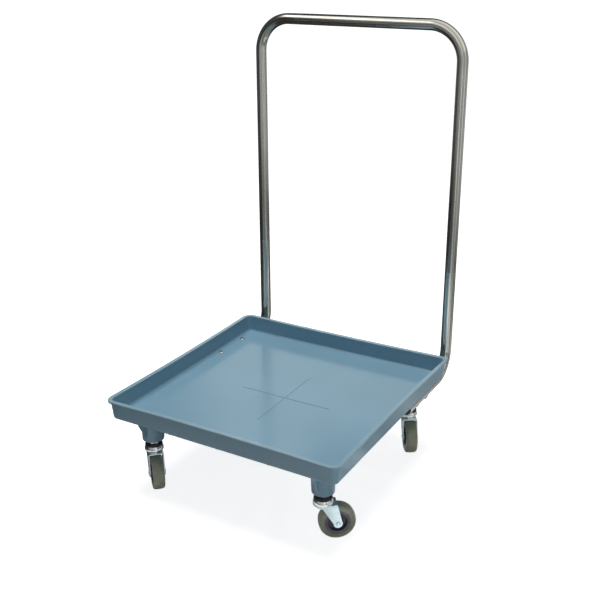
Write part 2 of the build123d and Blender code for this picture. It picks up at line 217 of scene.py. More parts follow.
class Recipe(NodeSheet):
    """The node tree of a new material, placed in the piece's own coordinates."""

    def __init__(self, name):
        self.material = bpy.data.materials.new(name)
        self.material.use_nodes = True
        super().__init__(self.material.node_tree)
        self.shader = self.tree.nodes["Principled BSDF"]
        self.place = self.add("TexCoord", output="Object")

    def attribute(self, name, output="Vector"):
        return self.add("Attribute", output=output, attribute_name=name)

    def vector(self, operation, *vectors, output="Vector"):
        inputs = dict(enumerate(vectors))
        return self.add("VectorMath", output=output, operation=operation, inputs=inputs)

    def along(self, vector, direction):
        return self.vector("DOT_PRODUCT", vector, direction, output="Value")

    def distance(self):
        return self.vector("LENGTH", self.place, output="Value")

    def parts(self):
        """The three coordinates of the place, by the names X, Y and Z."""
        return self.add("SeparateXYZ", inputs={"Vector": self.place}).node.outputs

    def noise(self, scale, detail=2.0, rough=0.5, vector=None):
        vector = self.place if vector is None else vector
        inputs = {"Vector": vector, "Scale": scale, "Detail": detail, "Roughness": rough}
        return self.add("TexNoise", inputs=inputs)

    def streaks(self, vector, scales, detail, rough=0.5, angle=0.0):
        """Noise with a scale of its own along each axis, turned round Z."""
        inputs = {"Vector": vector, "Scale": scales, "Rotation": (0.0, 0.0, angle)}
        return self.noise(1.0, detail, rough, self.add("Mapping", inputs=inputs))

    def mix(self, factor, first, second):
        inputs = {"Factor": factor, 6: first, 7: second}
        return self.add("Mix", output=2, data_type="RGBA", inputs=inputs)

    def mottled(self, noise, tone, darkest, lightest, low=0.3, high=0.7):
        """The tone, darkened and lightened by a noise."""
        return self.mix(self.remap(noise, low, high), shade(tone, darkest), shade(tone, lightest))

    def over(self, base, mask, strength, tone):
        """The base with another tone laid over it where the mask says so."""
        return self.mix(self.times(mask, strength), base, tone)

    def bump(self, height, strength, distance, under=None):
        inputs = {"Height": height, "Strength": strength, "Distance": distance}
        if under is not None:
            inputs["Normal"] = under
        return self.add("Bump", inputs=inputs)

    def finish(self, **sockets):
        for name, value in sockets.items():
            self.set(self.shader.inputs[name.replace("_", " ")], value)
        return self.material


def shade(tone, factor):
    return (*(min(1.0, channel * factor) for channel in tone), 1.0)


def tray_plastic(settings):
    """Semi-gloss moulded plastic: faint flow clouds, fine grain, handling scuffs on the rim and floor, and a
    lip lightened partly by dust and partly by a painted highlight.
    """
    recipe = Recipe("tray_plastic")
    tone = settings.plastic
    lip_band_from, lip_band_to = 0.2055, 0.2098
    clouds = recipe.noise(5.0, 3.0)
    speckle = recipe.noise(420.0)
    long_lines = recipe.streaks(recipe.place, (14.0, 220.0, 60.0), 3.0, angle=0.6)
    cross_lines = recipe.streaks(recipe.place, (160.0, 9.0, 60.0), 3.0, angle=-0.4)
    scuffs = recipe.larger(recipe.remap(long_lines, 0.66, 0.74), recipe.remap(cross_lines, 0.67, 0.75))
    patches = recipe.remap(recipe.noise(9.0), 0.45, 0.65)
    scuffs = recipe.times(scuffs, patches)
    rim = recipe.remap(recipe.parts()["Z"], lip_band_from, lip_band_to)
    rim_wear = recipe.times(rim, recipe.remap(recipe.noise(55.0, 4.0), 0.5, 0.72))
    base = recipe.mottled(clouds, tone, 0.965, 1.035)
    base = recipe.over(base, speckle, 0.05, shade(tone, 0.8))
    base = recipe.over(base, scuffs, 0.07, shade(tone, 1.4))
    # Painted highlight, partly dust: the whole lip band is lightened and greyed, standing in for the light
    # its rounded edges catch; the noisy wear after it lightens it further.
    base = recipe.over(base, rim, 0.3, RIM_DUST_AND_SHEEN)
    base = recipe.over(base, rim_wear, 0.22, shade(tone, 1.45))
    gloss = recipe.remap(recipe.noise(24.0, 3.0), 0.3, 0.7, 0.13, 0.2)
    gloss = recipe.plus(gloss, recipe.times(scuffs, 0.08))
    gloss = recipe.plus(gloss, recipe.times(rim_wear, 0.12))
    grain = recipe.bump(recipe.noise(1500.0), 0.10, 0.0002)
    dents = recipe.bump(recipe.noise(16.0, 1.0), 0.05, 0.002, grain)
    marks = recipe.bump(scuffs, 0.12, 0.0002, dents)
    return recipe.finish(Base_Color=base, Roughness=gloss, Normal=marks, IOR=1.5)


def tube_steel(name, tone):
    """Drawn tube: dark and light streaks along it, partly drawn grain and partly painted reflections, fine
    polishing rings, smoother bends with a scuffed ring at each end.
    """
    recipe = Recipe(name)
    wrap = recipe.attribute("wrap")
    bend = recipe.attribute("bend", "Fac")
    grain = recipe.streaks(wrap, (5.5, 5.5, 1.6), 4.0, 0.7)
    lines = recipe.streaks(wrap, (90.0, 90.0, 14.0), 3.0, 0.6)
    rings = recipe.streaks(wrap, (1.2, 1.2, 900.0), 2.0)
    stains = recipe.streaks(wrap, (1.6, 1.6, 9.0), 4.0)
    from_bend_end = recipe.maths("ABSOLUTE", recipe.maths("SUBTRACT", bend, 0.5))
    edge = recipe.remap(from_bend_end, 0.0, 0.42, 1.0, 0.0)
    # Painted reflections, partly grain: the strong dark and light streaks along the tube stand in for the
    # bands of the room that it reflects.
    base = recipe.mottled(grain, tone, 0.5, 1.4, 0.38, 0.62)
    base = recipe.over(base, recipe.remap(stains, 0.45, 0.7), 0.35, STEEL_STAIN)
    base = recipe.over(base, edge, 0.12, STEEL_SCUFF)
    gloss = recipe.remap(lines, 0.3, 0.7, 0.12, 0.24)
    gloss = recipe.maths("SUBTRACT", gloss, recipe.times(bend, 0.05))
    gloss = recipe.plus(gloss, recipe.times(edge, 0.05))
    polish = recipe.bump(rings, 0.05, 0.0001, recipe.bump(lines, 0.22, 0.0002))
    return recipe.finish(Base_Color=base, Metallic=1.0, Roughness=gloss, Normal=polish)


def plated_steel(name, tone, low, high, blotch):
    """Plated steel: fine crystal blotches, a faint straw tint, and a gloss that varies between two limits."""
    recipe = Recipe(name)
    straw = (tone[0] * 1.06, tone[1], tone[2] * 0.93)
    crystals = recipe.add("TexVoronoi", inputs={"Vector": recipe.place, "Scale": 420.0})
    tint = recipe.remap(recipe.noise(70.0, 3.0), 0.35, 0.65)
    rub = recipe.streaks(recipe.place, (160.0, 160.0, 900.0), 3.0)
    base = recipe.mix(tint, shade(tone, 0.9), shade(straw, 1.0))
    base = recipe.over(base, crystals, blotch, shade(tone, 0.7))
    gloss = recipe.remap(rub, 0.3, 0.7, low, high)
    skin = recipe.bump(recipe.noise(700.0, 3.0), 0.12, 0.0002)
    return recipe.finish(Base_Color=base, Metallic=1.0, Roughness=gloss, Normal=skin)


def worn_rubber(settings):
    """Thermoplastic tyre: soft mottling, dust, and a paler, duller tread."""
    recipe = Recipe("tyre_rubber")
    tread = recipe.remap(recipe.attribute("reach", "Fac"), 0.965, 0.985)
    clouds = recipe.noise(90.0, 4.0)
    dust = recipe.remap(recipe.noise(380.0, 4.0), 0.42, 0.72)
    base = recipe.mottled(clouds, settings.tyre, 0.86, 1.16)
    base = recipe.over(base, dust, 0.28, TYRE_DUST)
    base = recipe.over(base, tread, 0.5, TREAD_DUST)
    gloss = recipe.remap(clouds, 0.3, 0.7, 0.36, 0.5)
    gloss = recipe.plus(gloss, recipe.times(tread, 0.18))
    skin = recipe.bump(recipe.noise(1100.0, 3.0), 0.2, 0.0003)
    return recipe.finish(Base_Color=base, Roughness=gloss, Normal=skin, IOR=1.48)


def dark_plastic(name, tone, roughness, shaded_recess=False):
    """Dark moulded plastic or seal rubber: fine grain, a little dust, and painted shade in a wheel's recess.
    """
    recipe = Recipe(name)
    dust = recipe.remap(recipe.noise(260.0, 4.0), 0.5, 0.75)
    clouds = recipe.noise(60.0)
    base = recipe.mottled(clouds, tone, 0.85, 1.15)
    base = recipe.over(base, dust, 0.12, PLASTIC_DUST)
    if shaded_recess:
        # Painted shade: inside its recess round the hub the core is darkened, as if in shade.
        recess = recipe.remap(recipe.attribute("reach", "Fac"), 0.5, 0.56, 0.7, 0.0)
        base = recipe.mix(recess, base, shade(tone, 0.3))
    gloss = recipe.remap(clouds, 0.3, 0.7, roughness - 0.06, roughness + 0.08)
    skin = recipe.bump(recipe.noise(1400.0), 0.15, 0.0002)
    return recipe.finish(Base_Color=base, Roughness=gloss, Normal=skin)


def white_floor(settings):
    """Floor that looks white to the camera and in reflections, and a little greyer under the trolley."""
    recipe = Recipe("pale_floor")
    glow = recipe.remap(recipe.distance(), 0.2, 1.4, 0.84, 1.0)
    mottle = recipe.noise(30.0, 3.0)
    base = recipe.mix(mottle, shade(settings.floor, 0.985), shade(settings.floor, 1.0))
    return recipe.finish(
        Base_Color=base,
        Roughness=0.7,
        Emission_Color=WHITE,
        Emission_Strength=recipe.times(recipe.seen(), glow),
    )


def grey_room(settings):
    """What polished pieces reflect from around the stage.

    Grey upright bands, darker on the camera's left and lighter above the ground, with three places that
    are lit: the ground ahead of the tray, the ground to its right, and a band on the wall behind it.
    """
    recipe = Recipe("grey_room")
    flat = recipe.vector("MULTIPLY", recipe.place, (1.0, 1.0, 0.0))
    compass = recipe.vector("NORMALIZE", flat)
    away = recipe.distance()
    parts = recipe.parts()
    x, y, z = parts["X"], parts["Y"], parts["Z"]

    light_side = (0.95, -0.31, 0.0)
    level = recipe.remap(
        recipe.along(compass, light_side), -0.45, 0.9, settings.room_dark, settings.room_light
    )
    bands = recipe.remap(recipe.noise(5.0, 4.0, 0.7, compass), 0.35, 0.65, 0.3, 1.9)
    ebb = recipe.plus(recipe.remap(away, 0.5, 1.3, 1.1, 0.5), recipe.remap(z, 0.08, 0.35, 0.0, 0.75))
    grey = recipe.times(recipe.times(level, bands), ebb)

    ahead = recipe.times(recipe.remap(y, -0.26, -0.36), recipe.remap(y, -0.65, -0.5))
    ahead = recipe.times(ahead, recipe.remap(x, -0.5, -0.25))
    beside = recipe.larger(recipe.remap(x, 0.7, 0.6), recipe.remap(y, 0.15, 0.0))
    beside = recipe.times(beside, recipe.remap(x, 0.46, 0.54, 0.0, 0.9))
    ground = recipe.times(recipe.larger(ahead, beside), recipe.remap(away, 0.9, 1.3, 1.0, 0.0))

    across = recipe.along(compass, CAMERA_RIGHT)
    behind = recipe.remap(recipe.along(compass, CAMERA_AHEAD), 0.75, 0.85)
    behind = recipe.times(behind, recipe.remap(across, -0.42, -0.2))
    top = recipe.plus(z, recipe.remap(across, -0.1, 0.08, 0.0, 0.45))
    band = recipe.times(recipe.remap(z, 0.2, 0.3), recipe.remap(top, 1.55, 1.3))
    wall = recipe.times(recipe.times(behind, band), 0.95)
    return recipe.finish(
        Base_Color=BLACK,
        Roughness=1.0,
        Specular_IOR_Level=0.0,
        Emission_Color=ROOM_TINT,
        Emission_Strength=recipe.larger(grey, recipe.larger(ground, wall)),
    )


def bright_panel():
    """Ceiling panel that makes the bright streak along the handle and the glints on bolts and rims."""
    return Recipe("bright_panel").finish(Base_Color=BLACK, Emission_Strength=2.6)


# Mesh tools


def new_object(bm, name):
    """Make the finished mesh into an object of the scene."""
    mesh = bpy.data.meshes.new(name)
    bm.to_mesh(mesh)
    bm.free()
    made = bpy.data.objects.new(name, mesh)
    bpy.context.scene.collection.objects.link(made)
    return made


def new_piece(bm, name, body, node, material, sharp=35.0):
    """Make the finished mesh into a piece that rides on a body and stands for a CAD node."""
    dress(new_object(bm, name), body, node, material, sharp)


def dress(piece, body, node, material, sharp):
    piece.data.shade_smooth()
    piece.data.set_sharp_from_angle(angle=math.radians(sharp))
    weigh = piece.modifiers.new("even_normals", "WEIGHTED_NORMAL")
    weigh.keep_sharp = True
    piece.data.materials.clear()
    piece.data.materials.append(material)
    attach(piece, body)
    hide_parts(node)


def paint_node(node, material):
    """Give a CAD node that is shown as it is another material."""
    for slot in frame["nodes"][node].material_slots:
        slot.material = material


def face_outwards(bm):
    bmesh.ops.recalc_face_normals(bm, faces=bm.faces)


def verts_in(geometry):
    return [item for item in geometry if isinstance(item, bmesh.types.BMVert)]


def edges_at(verts):
    return list({edge for vert in verts for edge in vert.link_edges})


def sharp_edges(bm, angle=30.0):
    return [e for e in bm.edges if len(e.link_faces) == 2 and e.calc_face_angle() > math.radians(angle)]


def bevelled(bm, geometry, width, segments, affect, **settings):
    return bmesh.ops.bevel(
        bm,
        geom=geometry,
        offset=width,
        offset_type="OFFSET",
        segments=segments,
        profile=0.5,
        affect=affect,
        material=-1,
        **settings,
    )


def round_edges(bm, edges, width, segments=3):
    bevelled(bm, edges, width, segments, "EDGES", clamp_overlap=True)


def turned(profile, steps, soften=0.0, segments=3):
    """Spin a closed or axis-to-axis profile of (radius, height) points round Z, and round its edges."""
    bm = bmesh.new()
    verts = [bm.verts.new((radius, 0.0, height)) for radius, height in profile]
    pairs = list(zip(verts, verts[1:]))
    if profile[0][0] > 0.0:
        pairs.append((verts[-1], verts[0]))
    edges = [bm.edges.new(pair) for pair in pairs]
    bmesh.ops.spin(
        bm, geom=verts + edges, cent=(0, 0, 0), axis=(0, 0, 1), angle=math.tau, steps=steps, use_merge=True
    )
    bmesh.ops.remove_doubles(bm, verts=bm.verts, dist=1e-6)
    face_outwards(bm)
    if soften:
        round_edges(bm, sharp_edges(bm), soften, segments)
    return bm


def plain_ring(hole, radius, low, high):
    """Profile of a flat ring between the levels of two points."""
    return [(hole, low.z), (radius, low.z), (radius, high.z), (hole, high.z)]


def mirrored(half):
    """A whole profile from its upper half."""
    return half + [(radius, -height) for radius, height in reversed(half)]


def marked(bm, outer):
    """Mark each point of a wheel piece with its distance from the axle, as a share of the wheel's radius."""
    reach = bm.verts.layers.float.new("reach")
    for v in bm.verts:
        v[reach] = v.co.xy.length / outer
    return bm


def placed(bm, matrix):
    bmesh.ops.transform(bm, matrix=matrix, verts=bm.verts)
    return bm


def lying_back(place):
    """From upright to lying along Y, with the lower end at the place."""
    return Matrix.Translation(place) @ Matrix.Rotation(-math.pi / 2, 4, "X")


def rounded_ring(bm, half_side, corner, bow, level):
    """Ring of edges round a square with rounded corners and drawn-in sides, made at height 0 and raised."""
    square = bmesh.ops.create_grid(bm, x_segments=1, y_segments=1, size=half_side)["verts"]
    bevelled(bm, square, corner, 8, "VERTICES")
    sides = [e for e in bm.edges if e.calc_length() > half_side and e.verts[0].co.z == 0.0]
    bmesh.ops.subdivide_edges(bm, edges=sides, cuts=23)
    verts = [v for v in bm.verts if v.co.z == 0.0]
    bmesh.ops.delete(bm, geom=list({f for v in verts for f in v.link_faces}), context="FACES_ONLY")
    for v in verts:
        x = v.co.x / half_side
        y = v.co.y / half_side
        v.co = (v.co.x - x * bow * (1 - y * y), v.co.y - y * bow * (1 - x * x), level)
    return edges_at(verts)


def repeated(bm, matrices):
    """Copies of the shape, one at each of the places, in one mesh."""
    source = list(bm.verts) + list(bm.edges) + list(bm.faces)
    first_verts = list(bm.verts)
    for matrix in matrices[1:]:
        copy = bmesh.ops.duplicate(bm, geom=source)["geom"]
        bmesh.ops.transform(bm, matrix=matrix, verts=verts_in(copy))
    bmesh.ops.transform(bm, matrix=matrices[0], verts=first_verts)
    return bm


def block(bm, low, high):
    """Box between two corners."""
    low, high = Vector(low), Vector(high)
    matrix = Matrix.Translation((low + high) / 2) @ Matrix.Diagonal((*(high - low), 1.0))
    bmesh.ops.create_cube(bm, size=1.0, matrix=matrix)


def carve(target, helpers):
    """Join helper shapes to an object or cut them from it, return the mesh and remove all the objects."""
    for operation, helper in helpers:
        step = target.modifiers.new(operation.lower(), "BOOLEAN")
        step.operation = operation
        step.object = helper
        step.solver = "EXACT"
    depsgraph = bpy.context.evaluated_depsgraph_get()
    mesh = bpy.data.meshes.new_from_object(target.evaluated_get(depsgraph))
    for used in [target] + [helper for _, helper in helpers]:
        bpy.data.objects.remove(used)
    return mesh


def tube_ring(bm, radius, sides, matrix):
    """First ring of a tube, marked with how each point lies round it and how far along."""
    bmesh.ops.create_circle(bm, cap_ends=False, radius=radius, segments=sides)
    wrap = bm.verts.layers.float_vector.get("wrap") or bm.verts.layers.float_vector.new("wrap")
    bm.verts.layers.float.get("bend") or bm.verts.layers.float.new("bend")
    ring = list(bm.verts)[-sides:]
    for v in ring:
        v[wrap] = (v.co.x / radius, v.co.y / radius, 0.0)
    bmesh.ops.transform(bm, matrix=matrix, verts=ring)
    return edges_at(ring)


def carry_on(bm, ring, matrix, step, bend):
    """Extrude the end ring of a tube to its next place."""
    made = bmesh.ops.extrude_edge_only(bm, edges=ring)["geom"]
    verts = set(verts_in(made))
    bmesh.ops.transform(bm, matrix=matrix, verts=list(verts))
    wrap = bm.verts.layers.float_vector["wrap"]
    bent = bm.verts.layers.float["bend"]
    for v in verts:
        v[wrap] = (v[wrap].x, v[wrap].y, v[wrap].z + step)
        v[bent] = bend
    return [item for item in made if isinstance(item, bmesh.types.BMEdge) and verts.issuperset(item.verts)]


def run(bm, ring, offset, pieces):
    """Straight stretch of tube."""
    offset = Vector(offset)
    for _ in range(pieces):
        ring = carry_on(bm, ring, Matrix.Translation(offset / pieces), offset.length / pieces, 0.0)
    return ring


def turn(bm, ring, centre, axis, radius, steps=20):
    """Right-angled bend of tube round a centre."""
    centre = Vector(centre)
    angle = math.pi / 2
    step = Matrix.Rotation(angle / steps, 4, axis)
    matrix = Matrix.Translation(centre) @ step @ Matrix.Translation(-centre)
    for _ in range(steps):
        ring = carry_on(bm, ring, matrix, angle / steps * radius, 1.0)
    return ring


def hollow_tube(bm, radii, sides, start, path):
    """Outer and inner shell of a tube along a path of runs and turns, closed at the ends.

    Returns the edges of the outer shell's ends.
    """
    shells = []
    for radius in radii:
        first = tube_ring(bm, radius, sides, start)
        last = first
        for step, *where in path:
            last = step(bm, last, *where)
        shells.append((first, last))
    (outer_first, outer_last), (inner_first, inner_last) = shells
    bmesh.ops.bridge_loops(bm, edges=outer_first + inner_first)
    bmesh.ops.bridge_loops(bm, edges=outer_last + inner_last)
    return outer_first + outer_last


def smooth_copy(node):
    """Copy of a CAD node's mesh with its loose triangles joined and its flat faces made whole."""
    bm = bmesh.new()
    bm.from_mesh(frame["nodes"][node].data)
    bmesh.ops.remove_doubles(bm, verts=bm.verts, dist=2e-6)
    bmesh.ops.dissolve_limit(bm, angle_limit=math.radians(0.4), verts=bm.verts, edges=bm.edges)
    return bm


def pivot_of(corner):
    return Vector(joints[f"{corner}_swivel"]["pos_m"])


def hub_of(corner):
    return Vector(joints[f"{corner}_spin"]["pos_m"])


def corner_matrix(corner):
    """From a caster's own axes, with its fork running out along X, to its place under the tray."""
    pivot = pivot_of(corner)
    run_out = hub_of(corner) - pivot
    heading = math.atan2(run_out.y, run_out.x)
    return Matrix.Translation((pivot.x, pivot.y, 0.0)) @ Matrix.Rotation(heading, 4, "Z")


def hub_matrix(corner):
    """From a wheel's own axes, with its axle along Z, to its place in the fork."""
    axle = Vector(joints[f"{corner}_spin"]["axis"])
    return Matrix.Translation(hub_of(corner)) @ axle.to_track_quat("Z", "Y").to_matrix().to_4x4()


def bolt_places():
    """Centres of the four bolts on the ground plane."""
    low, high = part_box("tube_washers")
    columns = (low.x + WASHER_RADIUS, high.x - WASHER_RADIUS)
    return [(x, y, 0.0) for x in columns for y in (low.y + WASHER_RADIUS, high.y - WASHER_RADIUS)]


# Operators


class TROLLEY_OT_tray(bpy.types.Operator):
    """Build the moulded tray with its rim, floor, skirt, ribs and caster bosses"""

    bl_idname = "trolley.tray"
    bl_label = "Tray"

    def execute(self, context):
        s = context.scene.trolley_tray
        low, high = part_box("tray")
        self.rim = high.z
        self.boss_level = low.z
        self.foot = self.rim - s.skirt_drop
        self.floor = self.rim - s.well_depth
        self.under = self.floor - s.floor_thickness
        # Helpers reach this far into the floor, so that they join it.
        self.overlap = 0.0006
        self.top = self.under + self.overlap
        self.centre = Matrix.Translation((0.0, TRAY_CENTRE.y, 0.0))
        shell = self.shell(s)
        joined = (*self.ribs(s), self.pads(s), self.gussets(s), self.bosses(s))
        steps = [("UNION", each) for each in joined]
        steps += [("DIFFERENCE", each) for each in self.cross(s)]
        mesh = carve(shell, steps)
        mesh.name = "moulded_tray"
        piece = bpy.data.objects.new("moulded_tray", mesh)
        context.scene.collection.objects.link(piece)
        dress(piece, "chassis", "tray", tray_plastic(s), 32.0)
        return {"FINISHED"}

    def shell(self, s):
        """Rim, walls, floor and skirt: rings that are joined at the heights 1, 2, 3... and then moved."""
        bm = bmesh.new()
        half = s.side / 2
        inside = s.skirt_inset + s.skirt_thickness
        lip_level = self.rim - s.lip
        sections = (
            (inside, s.corner / 3, s.foot_bow, self.under, 0.0008),
            (inside, s.corner / 3, s.foot_bow, self.foot, 0.0006),
            (s.skirt_inset, s.corner - s.skirt_inset, s.foot_bow, self.foot, s.skirt_round),
            (s.lip_overhang, s.corner - s.lip_overhang, s.rim_bow, lip_level, 0.0008),
            (0.0, s.corner, s.rim_bow, lip_level, s.lip_round),
            (0.0, s.corner, s.rim_bow, self.rim, s.lip_round),
            (s.rim_width, s.corner - s.rim_width, s.rim_bow, self.rim, s.mouth_round),
            (s.floor_inset, s.corner - s.floor_inset, s.foot_bow, self.floor, s.floor_round),
        )
        rings = [
            rounded_ring(bm, half - inset, corner, bow, 1.0 + place)
            for place, (inset, corner, bow, _, _) in enumerate(sections)
        ]
        for first, second in zip(rings, rings[1:]):
            bmesh.ops.bridge_loops(bm, edges=first + second)
        bmesh.ops.contextual_create(bm, geom=rings[0])
        bmesh.ops.contextual_create(bm, geom=rings[-1])
        levels = [level for _, _, _, level, _ in sections]
        for v in bm.verts:
            v.co.z = levels[round(v.co.z) - 1]
        face_outwards(bm)
        for ring, (_, _, _, _, rounding) in zip(rings, sections):
            round_edges(bm, ring, rounding, 3 if rounding < 0.0015 else 6)
        return new_object(placed(bm, self.centre), "tray_shell")

    def ribs(self, s):
        """Ribs both ways under the floor, of slightly unlike heights, so that no faces coincide."""
        reach = s.side / 2 - s.skirt_inset - s.skirt_thickness / 2
        thick = s.rib_thickness / 2
        cross_foot = self.foot + 0.0001
        cross_top = self.under + self.overlap * 1.5
        along, across = bmesh.new(), bmesh.new()
        for place in (-s.rib_pitch, 0.0, s.rib_pitch):
            block(along, (place - thick, -reach, self.foot), (place + thick, reach, self.top))
            block(across, (-reach, place - thick, cross_foot), (reach, place + thick, cross_top))
        ribs = {"ribs_along": along, "ribs_across": across}
        return [new_object(placed(bm, self.centre), name) for name, bm in ribs.items()]

    def pads(self, s):
        """Round pads at the bolts, which end a trace lower than the ribs."""
        foot = self.foot - 0.00005
        pad = turned([(0.0, foot), (s.pad_radius, foot), (s.pad_radius, self.top), (0.0, self.top)], 40)
        return new_object(repeated(pad, [Matrix.Translation(p) for p in bolt_places()]), "tray_pads")

    def bosses(self, s):
        """Tapered caster bosses with a rounded lower edge."""
        foot = self.boss_level
        boss = turned([(0.0, foot), (s.boss_foot, foot), (s.boss_top, self.top), (0.0, self.top)], 64)
        brim = {v for v in boss.verts if abs(v.co.z - foot) < 1e-6 and v.co.xy.length > 0.001}
        round_edges(boss, [e for e in boss.edges if brim.issuperset(e.verts)], 0.0015, 4)
        pivots = [pivot_of(corner) for corner in CORNERS]
        places = [Matrix.Translation((pivot.x, pivot.y, 0.0)) for pivot in pivots]
        return new_object(repeated(boss, places), "tray_bosses")

    def gussets(self, s):
        """Fins that brace the bosses towards the front and rear walls."""
        bm = bmesh.new()
        gusset_foot = self.boss_level + s.gusset_lift
        reach = s.boss_top + s.gusset_reach
        outline = [(0.0, self.top), (0.0, gusset_foot), (s.boss_foot, gusset_foot)]
        outline += [(reach, self.foot), (reach, self.top)]
        for corner in CORNERS:
            pivot = pivot_of(corner)
            outward = math.copysign(1.0, pivot.y - TRAY_CENTRE.y)
            side = pivot.x - s.gusset_thickness / 2
            face = bm.faces.new([bm.verts.new((side, pivot.y + outward * y, z)) for y, z in outline])
            solid = bmesh.ops.extrude_face_region(bm, geom=[face])["geom"]
            bmesh.ops.translate(bm, vec=(s.gusset_thickness, 0.0, 0.0), verts=verts_in(solid))
        face_outwards(bm)
        round_edges(bm, sharp_edges(bm), 0.0006, 2)
        return new_object(bm, "tray_gussets")

    def cross(self, s):
        """The two cutters for the cross, of slightly unlike depths."""
        arm = s.cross_length / 2
        wide = s.cross_width / 2
        tall = 0.002
        along, across = bmesh.new(), bmesh.new()
        block(along, (-wide, -arm, -s.cross_depth * 1.05), (wide, arm, tall))
        block(across, (-arm, -wide, -s.cross_depth), (arm, wide, tall))
        place = Matrix.Translation((s.cross_x, TRAY_CENTRE.y + s.cross_y, self.floor))
        cutters = {"cross_along": along, "cross_across": across}
        return [new_object(placed(bm, place), name) for name, bm in cutters.items()]


class TROLLEY_OT_handle(bpy.types.Operator):
    """Bend the upper handle and the two lower tubes"""

    bl_idname = "trolley.handle"
    bl_label = "Handle"

    def execute(self, context):
        s = context.scene.trolley_handle
        upper_steel = tube_steel("tube_steel_upper", s.steel)
        # Painted reflection: the lower tubes get a lighter copy of the same steel, standing in for the bright
        # ground that they reflect.
        lower_steel = tube_steel("tube_steel_lower", [channel * 1.2 for channel in s.steel])
        low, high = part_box("handle_upper")
        joint = low.z
        top = high.z - s.radius
        y = (low.y + high.y) / 2
        reach = high.x - s.radius
        bend_level = top - s.top_bend
        radii = (s.radius, s.radius - s.wall)
        start = Matrix.Translation((-reach, y, joint))
        path = (
            (run, (0.0, 0.0, bend_level - joint), 8),
            (turn, (s.top_bend - reach, y, bend_level), "Y", s.top_bend),
            (run, (2 * (reach - s.top_bend), 0.0, 0.0), 6),
            (turn, (reach - s.top_bend, y, bend_level), "Y", s.top_bend),
            (run, (0.0, 0.0, joint - bend_level), 8),
        )
        bm = bmesh.new()
        rims = hollow_tube(bm, radii, s.sides, start, path)
        face_outwards(bm)
        round_edges(bm, rims, s.edge)
        new_piece(bm, "handle_bow", "chassis", "handle_upper", upper_steel)

        spigot = s.radius - s.wall - 0.0001
        spigot_root = 0.02
        for side in SIDES:
            node = f"handle_lower_{side}"
            low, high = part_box(node)
            x = (low.x + high.x) / 2
            level = low.z + s.radius
            path = (
                (run, (0.0, y - s.foot_bend - low.y, 0.0), 4),
                (turn, (x, y - s.foot_bend, level + s.foot_bend), "X", s.foot_bend),
                (run, (0.0, 0.0, joint - level - s.foot_bend), 6),
            )
            bm = bmesh.new()
            rims = hollow_tube(bm, radii, s.sides, lying_back((x, low.y, level)), path)
            start = Matrix.Translation((x, y, joint - spigot_root))
            path = ((run, (0.0, 0.0, s.spigot + spigot_root), 1),)
            hollow_tube(bm, (spigot, spigot - s.wall), s.sides, start, path)
            face_outwards(bm)
            round_edges(bm, rims, s.edge)
            new_piece(bm, f"handle_foot_{side}", "chassis", node, lower_steel)
        return {"FINISHED"}


class TROLLEY_OT_fasteners(bpy.types.Operator):
    """Turn the domed floor bolts, their washers and the plugs in the tube ends, and give the nuts the bolts'
    steel
    """

    bl_idname = "trolley.fasteners"
    bl_label = "Fasteners and plugs"

    def execute(self, context):
        s = context.scene.trolley_caster
        bright = plated_steel("bright_fastener", s.bolt, 0.12, 0.26, 0.05)
        spots = bolt_places()
        places = [Matrix.Translation(spot) for spot in spots]

        low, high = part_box("floor_bolts")
        head = (high.y - low.y) / 2 - (spots[1][1] - spots[0][1]) / 2
        shank = 0.003
        chamfer = 0.0008
        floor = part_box("tray")[1].z - context.scene.trolley_tray.well_depth
        brink = floor + 0.0009
        crest = high.z
        ball = (head * head + (crest - brink) ** 2) / (2 * (crest - brink))
        tilt = math.asin(head / ball)
        angles = [tilt * i / 8 for i in range(9)]
        dome = [(ball * math.sin(angle), crest - ball + ball * math.cos(angle)) for angle in angles]
        stalk = [(head, floor), (shank, floor), (shank, low.z + chamfer)]
        stalk += [(shank - chamfer, low.z), (0.0, low.z)]
        bolts = repeated(turned(dome + stalk, 40, 0.00025, 2), places)
        new_piece(bolts, "domed_bolts", "chassis", "floor_bolts", bright, 40.0)

        low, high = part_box("tube_washers")
        washers = repeated(turned(plain_ring(WASHER_HOLE, WASHER_RADIUS, low, high), 40, 0.0003, 2), places)
        new_piece(washers, "washers", "chassis", "tube_washers", bright)
        paint_node("tube_nuts", bright)

        plug_material = dark_plastic("plug_plastic", s.seal, 0.45)
        for side in SIDES:
            node = f"tube_plug_{side}"
            low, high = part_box(node)
            flange = 0.0025
            radius = (high.x - low.x) / 2
            depth = high.y - low.y
            bore = radius - 0.00095
            profile = [(0.0, 0.0), (radius * 0.7, 0.0), (radius, flange * 0.5), (radius, flange)]
            profile += [(bore, flange), (bore, depth), (0.0, depth)]
            matrix = lying_back(((low.x + high.x) / 2, low.y, (low.z + high.z) / 2))
            bm = placed(turned(profile, 48, 0.0003), matrix)
            new_piece(bm, f"end_plug_{side}", "chassis", node, plug_material, 40.0)
        return {"FINISHED"}


